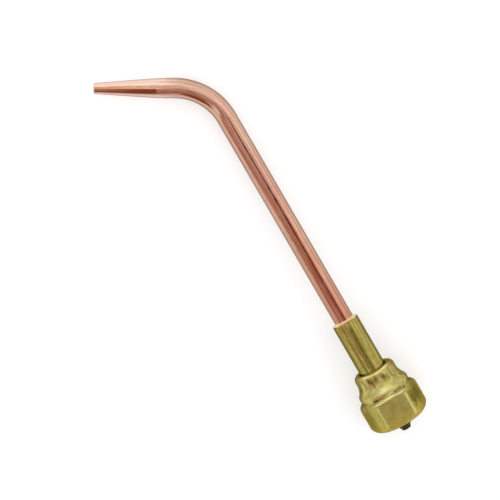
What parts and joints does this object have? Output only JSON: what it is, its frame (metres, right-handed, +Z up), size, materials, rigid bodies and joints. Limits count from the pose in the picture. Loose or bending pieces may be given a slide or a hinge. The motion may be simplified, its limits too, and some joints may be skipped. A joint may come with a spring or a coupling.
{
  "type": "brazing tip",
  "caption": "Bent copper brazing tip with a swaged outlet, brazed into a turned brass tail and held by a loose hexagon union nut.",
  "frame": {"origin": "middle of the bottom of the whole part's box, on the bench that the tip lies on", "axes": "+X from the nut's threaded mouth towards the bend, +Y to the side that the outlet points to, +Z up from the bench"},
  "size_m": [0.1446, 0.042, 0.0175],
  "materials": {
    "copper": "drawn copper, bright with dull streaks",
    "turned_brass": "turned and lightly tarnished",
    "forged_brass": "forged bell and milled hexagon, satin",
    "braze_metal": "bright solidified filler",
    "seal_rubber": "black rubber"
  },
  "bodies": {
    "tip": {"tip_tube": "copper", "tail_body": "turned_brass", "braze_fillet": "braze_metal", "nose_seal": "seal_rubber", "boss_seal": "seal_rubber"},
    "nut": {"union_nut": "forged_brass"}
  },
  "joints": [
    {"name": "nut_spin", "type": "hinge", "parent": "tip", "child": "nut", "pos_m": [-0.05239, -0.01092, 0.00873], "axis": [1, 0, 0], "continuous": true}
  ]
}
